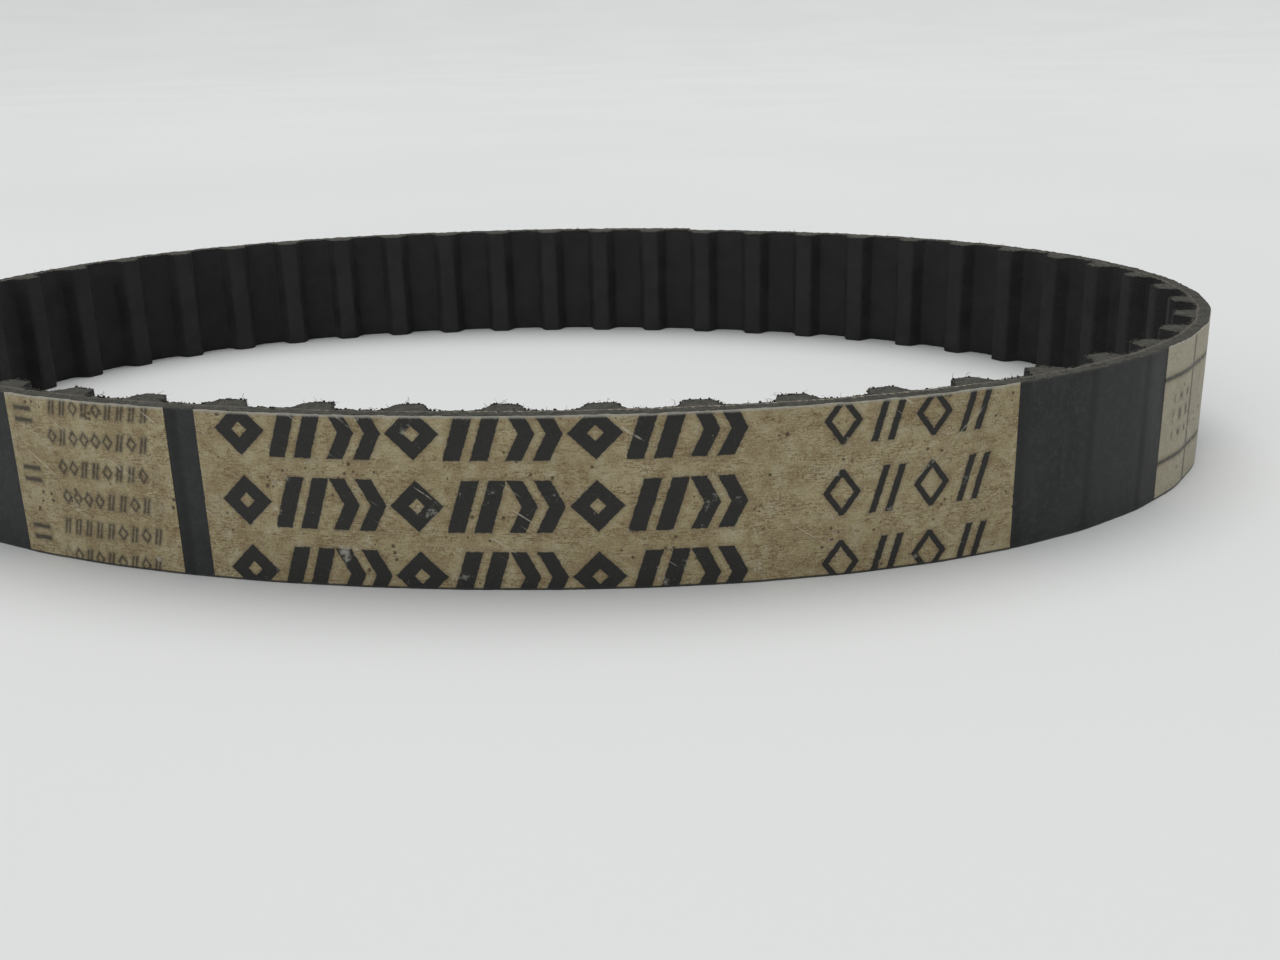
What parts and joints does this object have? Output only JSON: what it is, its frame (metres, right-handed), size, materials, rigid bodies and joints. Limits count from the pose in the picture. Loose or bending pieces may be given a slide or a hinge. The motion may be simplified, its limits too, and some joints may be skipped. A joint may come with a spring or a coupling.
{
  "type": "timing belt",
  "caption": "Endless rubber timing belt with trapezoidal teeth inside, smooth printed back, lying as an oval loop on its edge.",
  "frame": {"origin": "centre of the loop, on the lower cut edge that the belt stands on", "axes": "+Z across the belt's width, along the pulleys' axes; +X along the loop's longer side; the printed labels face -Y"},
  "size_m": [0.0946, 0.0677, 0.0095],
  "materials": {
    "rubber": "matte moulded rubber",
    "facing": "woven, rubber-soaked",
    "cord": "twisted glass fibre",
    "print": "thin worn printed film"
  },
  "bodies": {
    "pitch_01": {"tooth_01": "rubber", "tension_cord": "cord", "tooth_facing": "facing", "label_main": "print", "label_small": "print", "label_end": "print"},
    "pitch_02": {"tooth_02": "rubber"},
    "pitch_03": {"tooth_03": "rubber"},
    "pitch_04": {"tooth_04": "rubber"},
    "pitch_05": {"tooth_05": "rubber"},
    "pitch_06": {"tooth_06": "rubber"},
    "pitch_07": {"tooth_07": "rubber"},
    "pitch_08": {"tooth_08": "rubber"},
    "pitch_09": {"tooth_09": "rubber"},
    "pitch_10": {"tooth_10": "rubber"},
    "pitch_11": {"tooth_11": "rubber"},
    "pitch_12": {"tooth_12": "rubber"},
    "pitch_13": {"tooth_13": "rubber"},
    "pitch_14": {"tooth_14": "rubber"},
    "pitch_15": {"tooth_15": "rubber"},
    "pitch_16": {"tooth_16": "rubber"},
    "pitch_17": {"tooth_17": "rubber"},
    "pitch_18": {"tooth_18": "rubber"},
    "pitch_19": {"tooth_19": "rubber"},
    "pitch_20": {"tooth_20": "rubber"},
    "pitch_21": {"tooth_21": "rubber"},
    "pitch_22": {"tooth_22": "rubber"},
    "pitch_23": {"tooth_23": "rubber"},
    "pitch_24": {"tooth_24": "rubber"},
    "pitch_25": {"tooth_25": "rubber"},
    "pitch_26": {"tooth_26": "rubber"},
    "pitch_27": {"tooth_27": "rubber"},
    "pitch_28": {"tooth_28": "rubber"},
    "pitch_29": {"tooth_29": "rubber"},
    "pitch_30": {"tooth_30": "rubber"},
    "pitch_31": {"tooth_31": "rubber"},
    "pitch_32": {"tooth_32": "rubber"},
    "pitch_33": {"tooth_33": "rubber"},
    "pitch_34": {"tooth_34": "rubber"},
    "pitch_35": {"tooth_35": "rubber"},
    "pitch_36": {"tooth_36": "rubber"},
    "pitch_37": {"tooth_37": "rubber"},
    "pitch_38": {"tooth_38": "rubber"},
    "pitch_39": {"tooth_39": "rubber"},
    "pitch_40": {"tooth_40": "rubber"},
    "pitch_41": {"tooth_41": "rubber"},
    "pitch_42": {"tooth_42": "rubber"},
    "pitch_43": {"tooth_43": "rubber"},
    "pitch_44": {"tooth_44": "rubber"},
    "pitch_45": {"tooth_45": "rubber"},
    "pitch_46": {"tooth_46": "rubber"},
    "pitch_47": {"tooth_47": "rubber"},
    "pitch_48": {"tooth_48": "rubber"},
    "pitch_49": {"tooth_49": "rubber"},
    "pitch_50": {"tooth_50": "rubber"}
  },
  "joints": [
    {"name": "land_01", "type": "hinge", "parent": "pitch_01", "child": "pitch_02", "pos_m": [0.00254, -0.03302, 0.00475], "axis": [0, 0, 1], "range_deg": [-3.5, 3.5], "deforming": ["tension_cord", "tooth_facing", "label_main", "label_small", "label_end"]},
    {"name": "land_02", "type": "hinge", "parent": "pitch_02", "child": "pitch_03", "pos_m": [0.00761, -0.0327, 0.00475], "axis": [0, 0, 1], "range_deg": [-3.4, 3.4]},
    {"name": "land_03", "type": "hinge", "parent": "pitch_03", "child": "pitch_04", "pos_m": [0.01265, -0.03203, 0.00475], "axis": [0, 0, 1], "range_deg": [-2.96, 2.96]},
    {"name": "land_04", "type": "hinge", "parent": "pitch_04", "child": "pitch_05", "pos_m": [0.01762, -0.031, 0.00475], "axis": [0, 0, 1], "range_deg": [-2.34, 2.34]},
    {"name": "land_05", "type": "hinge", "parent": "pitch_05", "child": "pitch_06", "pos_m": [0.02249, -0.02954, 0.00475], "axis": [0, 0, 1], "range_deg": [-1.58, 1.58]},
    {"name": "land_06", "type": "hinge", "parent": "pitch_06", "child": "pitch_07", "pos_m": [0.02718, -0.02761, 0.00475], "axis": [0, 0, 1], "range_deg": [-0.72, 0.72]},
    {"name": "land_07", "type": "hinge", "parent": "pitch_07", "child": "pitch_08", "pos_m": [0.03163, -0.02516, 0.00475], "axis": [0, 0, 1], "range_deg": [-0.276, 0.276]},
    {"name": "land_08", "type": "hinge", "parent": "pitch_08", "child": "pitch_09", "pos_m": [0.03573, -0.02215, 0.00475], "axis": [0, 0, 1], "range_deg": [-1.16, 1.16]},
    {"name": "land_09", "type": "hinge", "parent": "pitch_09", "child": "pitch_10", "pos_m": [0.03934, -0.01858, 0.00475], "axis": [0, 0, 1], "range_deg": [-1.98, 1.98]},
    {"name": "land_10", "type": "hinge", "parent": "pitch_10", "child": "pitch_11", "pos_m": [0.04235, -0.01449, 0.00475], "axis": [0, 0, 1], "range_deg": [-2.67, 2.67]},
    {"name": "land_11", "type": "hinge", "parent": "pitch_11", "child": "pitch_12", "pos_m": [0.04461, -0.00994, 0.00475], "axis": [0, 0, 1], "range_deg": [-3.2, 3.2]},
    {"name": "land_12", "type": "hinge", "parent": "pitch_12", "child": "pitch_13", "pos_m": [0.04602, -0.00506, 0.00475], "axis": [0, 0, 1], "range_deg": [-3.54, 3.54]},
    {"name": "land_13", "type": "hinge", "parent": "pitch_13", "child": "pitch_14", "pos_m": [0.0465, 0, 0.00475], "axis": [0, 0, 1], "range_deg": [-3.65, 3.65]},
    {"name": "land_14", "type": "hinge", "parent": "pitch_14", "child": "pitch_15", "pos_m": [0.04602, 0.00506, 0.00475], "axis": [0, 0, 1], "range_deg": [-3.54, 3.54]},
    {"name": "land_15", "type": "hinge", "parent": "pitch_15", "child": "pitch_16", "pos_m": [0.04461, 0.00994, 0.00475], "axis": [0, 0, 1], "range_deg": [-3.2, 3.2]},
    {"name": "land_16", "type": "hinge", "parent": "pitch_16", "child": "pitch_17", "pos_m": [0.04235, 0.01449, 0.00475], "axis": [0, 0, 1], "range_deg": [-2.67, 2.67]},
    {"name": "land_17", "type": "hinge", "parent": "pitch_17", "child": "pitch_18", "pos_m": [0.03934, 0.01858, 0.00475], "axis": [0, 0, 1], "range_deg": [-1.98, 1.98]},
    {"name": "land_18", "type": "hinge", "parent": "pitch_18", "child": "pitch_19", "pos_m": [0.03573, 0.02215, 0.00475], "axis": [0, 0, 1], "range_deg": [-1.16, 1.16]},
    {"name": "land_19", "type": "hinge", "parent": "pitch_19", "child": "pitch_20", "pos_m": [0.03163, 0.02516, 0.00475], "axis": [0, 0, 1], "range_deg": [-0.276, 0.276]},
    {"name": "land_20", "type": "hinge", "parent": "pitch_20", "child": "pitch_21", "pos_m": [0.02718, 0.02761, 0.00475], "axis": [0, 0, 1], "range_deg": [-0.72, 0.72]},
    {"name": "land_21", "type": "hinge", "parent": "pitch_21", "child": "pitch_22", "pos_m": [0.02249, 0.02954, 0.00475], "axis": [0, 0, 1], "range_deg": [-1.58, 1.58]},
    {"name": "land_22", "type": "hinge", "parent": "pitch_22", "child": "pitch_23", "pos_m": [0.01762, 0.031, 0.00475], "axis": [0, 0, 1], "range_deg": [-2.34, 2.34]},
    {"name": "land_23", "type": "hinge", "parent": "pitch_23", "child": "pitch_24", "pos_m": [0.01265, 0.03203, 0.00475], "axis": [0, 0, 1], "range_deg": [-2.96, 2.96]},
    {"name": "land_24", "type": "hinge", "parent": "pitch_24", "child": "pitch_25", "pos_m": [0.00761, 0.0327, 0.00475], "axis": [0, 0, 1], "range_deg": [-3.4, 3.4]},
    {"name": "land_25", "type": "hinge", "parent": "pitch_25", "child": "pitch_26", "pos_m": [0.00254, 0.03302, 0.00475], "axis": [0, 0, 1], "range_deg": [-3.62, 3.62]},
    {"name": "land_50", "type": "hinge", "parent": "pitch_01", "child": "pitch_50", "pos_m": [-0.00254, -0.03302, 0.00475], "axis": [0, 0, -1], "range_deg": [-3.62, 3.62]},
    {"name": "land_49", "type": "hinge", "parent": "pitch_50", "child": "pitch_49", "pos_m": [-0.00761, -0.0327, 0.00475], "axis": [0, 0, -1], "range_deg": [-3.4, 3.4]},
    {"name": "land_48", "type": "hinge", "parent": "pitch_49", "child": "pitch_48", "pos_m": [-0.01265, -0.03203, 0.00475], "axis": [0, 0, -1], "range_deg": [-2.96, 2.96]},
    {"name": "land_47", "type": "hinge", "parent": "pitch_48", "child": "pitch_47", "pos_m": [-0.01762, -0.031, 0.00475], "axis": [0, 0, -1], "range_deg": [-2.34, 2.34]},
    {"name": "land_46", "type": "hinge", "parent": "pitch_47", "child": "pitch_46", "pos_m": [-0.02249, -0.02954, 0.00475], "axis": [0, 0, -1], "range_deg": [-1.58, 1.58]},
    {"name": "land_45", "type": "hinge", "parent": "pitch_46", "child": "pitch_45", "pos_m": [-0.02718, -0.02761, 0.00475], "axis": [0, 0, -1], "range_deg": [-0.72, 0.72]},
    {"name": "land_44", "type": "hinge", "parent": "pitch_45", "child": "pitch_44", "pos_m": [-0.03163, -0.02516, 0.00475], "axis": [0, 0, -1], "range_deg": [-0.276, 0.276]},
    {"name": "land_43", "type": "hinge", "parent": "pitch_44", "child": "pitch_43", "pos_m": [-0.03573, -0.02215, 0.00475], "axis": [0, 0, -1], "range_deg": [-1.16, 1.16]},
    {"name": "land_42", "type": "hinge", "parent": "pitch_43", "child": "pitch_42", "pos_m": [-0.03934, -0.01858, 0.00475], "axis": [0, 0, -1], "range_deg": [-1.98, 1.98]},
    {"name": "land_41", "type": "hinge", "parent": "pitch_42", "child": "pitch_41", "pos_m": [-0.04235, -0.01449, 0.00475], "axis": [0, 0, -1], "range_deg": [-2.67, 2.67]},
    {"name": "land_40", "type": "hinge", "parent": "pitch_41", "child": "pitch_40", "pos_m": [-0.04461, -0.00994, 0.00475], "axis": [0, 0, -1], "range_deg": [-3.2, 3.2]},
    {"name": "land_39", "type": "hinge", "parent": "pitch_40", "child": "pitch_39", "pos_m": [-0.04602, -0.00506, 0.00475], "axis": [0, 0, -1], "range_deg": [-3.54, 3.54]},
    {"name": "land_38", "type": "hinge", "parent": "pitch_39", "child": "pitch_38", "pos_m": [-0.0465, 0, 0.00475], "axis": [0, 0, -1], "range_deg": [-3.65, 3.65]},
    {"name": "land_37", "type": "hinge", "parent": "pitch_38", "child": "pitch_37", "pos_m": [-0.04602, 0.00506, 0.00475], "axis": [0, 0, -1], "range_deg": [-3.54, 3.54]},
    {"name": "land_36", "type": "hinge", "parent": "pitch_37", "child": "pitch_36", "pos_m": [-0.04461, 0.00994, 0.00475], "axis": [0, 0, -1], "range_deg": [-3.2, 3.2]},
    {"name": "land_35", "type": "hinge", "parent": "pitch_36", "child": "pitch_35", "pos_m": [-0.04235, 0.01449, 0.00475], "axis": [0, 0, -1], "range_deg": [-2.67, 2.67]},
    {"name": "land_34", "type": "hinge", "parent": "pitch_35", "child": "pitch_34", "pos_m": [-0.03934, 0.01858, 0.00475], "axis": [0, 0, -1], "range_deg": [-1.98, 1.98]},
    {"name": "land_33", "type": "hinge", "parent": "pitch_34", "child": "pitch_33", "pos_m": [-0.03573, 0.02215, 0.00475], "axis": [0, 0, -1], "range_deg": [-1.16, 1.16]},
    {"name": "land_32", "type": "hinge", "parent": "pitch_33", "child": "pitch_32", "pos_m": [-0.03163, 0.02516, 0.00475], "axis": [0, 0, -1], "range_deg": [-0.276, 0.276]},
    {"name": "land_31", "type": "hinge", "parent": "pitch_32", "child": "pitch_31", "pos_m": [-0.02718, 0.02761, 0.00475], "axis": [0, 0, -1], "range_deg": [-0.72, 0.72]},
    {"name": "land_30", "type": "hinge", "parent": "pitch_31", "child": "pitch_30", "pos_m": [-0.02249, 0.02954, 0.00475], "axis": [0, 0, -1], "range_deg": [-1.58, 1.58]},
    {"name": "land_29", "type": "hinge", "parent": "pitch_30", "child": "pitch_29", "pos_m": [-0.01762, 0.031, 0.00475], "axis": [0, 0, -1], "range_deg": [-2.34, 2.34]},
    {"name": "land_28", "type": "hinge", "parent": "pitch_29", "child": "pitch_28", "pos_m": [-0.01265, 0.03203, 0.00475], "axis": [0, 0, -1], "range_deg": [-2.96, 2.96]},
    {"name": "land_27", "type": "hinge", "parent": "pitch_28", "child": "pitch_27", "pos_m": [-0.00761, 0.0327, 0.00475], "axis": [0, 0, -1], "range_deg": [-3.4, 3.4]}
  ],
  "couplings": [
    {"joint": "land_02", "follows": "land_01", "ratio": 0.93717},
    {"joint": "land_03", "follows": "land_01", "ratio": 0.81545},
    {"joint": "land_04", "follows": "land_01", "ratio": 0.64249},
    {"joint": "land_05", "follows": "land_01", "ratio": 0.42916},
    {"joint": "land_06", "follows": "land_01", "ratio": 0.18887},
    {"joint": "land_07", "follows": "land_01", "ratio": -0.06329},
    {"joint": "land_08", "follows": "land_01", "ratio": -0.31147},
    {"joint": "land_09", "follows": "land_01", "ratio": -0.54009},
    {"joint": "land_10", "follows": "land_01", "ratio": -0.73476},
    {"joint": "land_11", "follows": "land_01", "ratio": -0.88327},
    {"joint": "land_12", "follows": "land_01", "ratio": -0.97628},
    {"joint": "land_13", "follows": "land_01", "ratio": -1.0079},
    {"joint": "land_14", "follows": "land_01", "ratio": -0.97628},
    {"joint": "land_15", "follows": "land_01", "ratio": -0.88327},
    {"joint": "land_16", "follows": "land_01", "ratio": -0.73476},
    {"joint": "land_17", "follows": "land_01", "ratio": -0.54009},
    {"joint": "land_18", "follows": "land_01", "ratio": -0.31147},
    {"joint": "land_19", "follows": "land_01", "ratio": -0.06329},
    {"joint": "land_20", "follows": "land_01", "ratio": 0.18887},
    {"joint": "land_21", "follows": "land_01", "ratio": 0.42916},
    {"joint": "land_22", "follows": "land_01", "ratio": 0.64249},
    {"joint": "land_23", "follows": "land_01", "ratio": 0.81545},
    {"joint": "land_24", "follows": "land_01", "ratio": 0.93717},
    {"joint": "land_25", "follows": "land_01", "ratio": 1},
    {"joint": "land_50", "follows": "land_01", "ratio": 1},
    {"joint": "land_49", "follows": "land_01", "ratio": 0.93717},
    {"joint": "land_48", "follows": "land_01", "ratio": 0.81545},
    {"joint": "land_47", "follows": "land_01", "ratio": 0.64249},
    {"joint": "land_46", "follows": "land_01", "ratio": 0.42916},
    {"joint": "land_45", "follows": "land_01", "ratio": 0.18887},
    {"joint": "land_44", "follows": "land_01", "ratio": -0.06329},
    {"joint": "land_43", "follows": "land_01", "ratio": -0.31147},
    {"joint": "land_42", "follows": "land_01", "ratio": -0.54009},
    {"joint": "land_41", "follows": "land_01", "ratio": -0.73476},
    {"joint": "land_40", "follows": "land_01", "ratio": -0.88327},
    {"joint": "land_39", "follows": "land_01", "ratio": -0.97628},
    {"joint": "land_38", "follows": "land_01", "ratio": -1.0079},
    {"joint": "land_37", "follows": "land_01", "ratio": -0.97628},
    {"joint": "land_36", "follows": "land_01", "ratio": -0.88327},
    {"joint": "land_35", "follows": "land_01", "ratio": -0.73476},
    {"joint": "land_34", "follows": "land_01", "ratio": -0.54009},
    {"joint": "land_33", "follows": "land_01", "ratio": -0.31147},
    {"joint": "land_32", "follows": "land_01", "ratio": -0.06329},
    {"joint": "land_31", "follows": "land_01", "ratio": 0.18887},
    {"joint": "land_30", "follows": "land_01", "ratio": 0.42916},
    {"joint": "land_29", "follows": "land_01", "ratio": 0.64249},
    {"joint": "land_28", "follows": "land_01", "ratio": 0.81545},
    {"joint": "land_27", "follows": "land_01", "ratio": 0.93717}
  ]
}
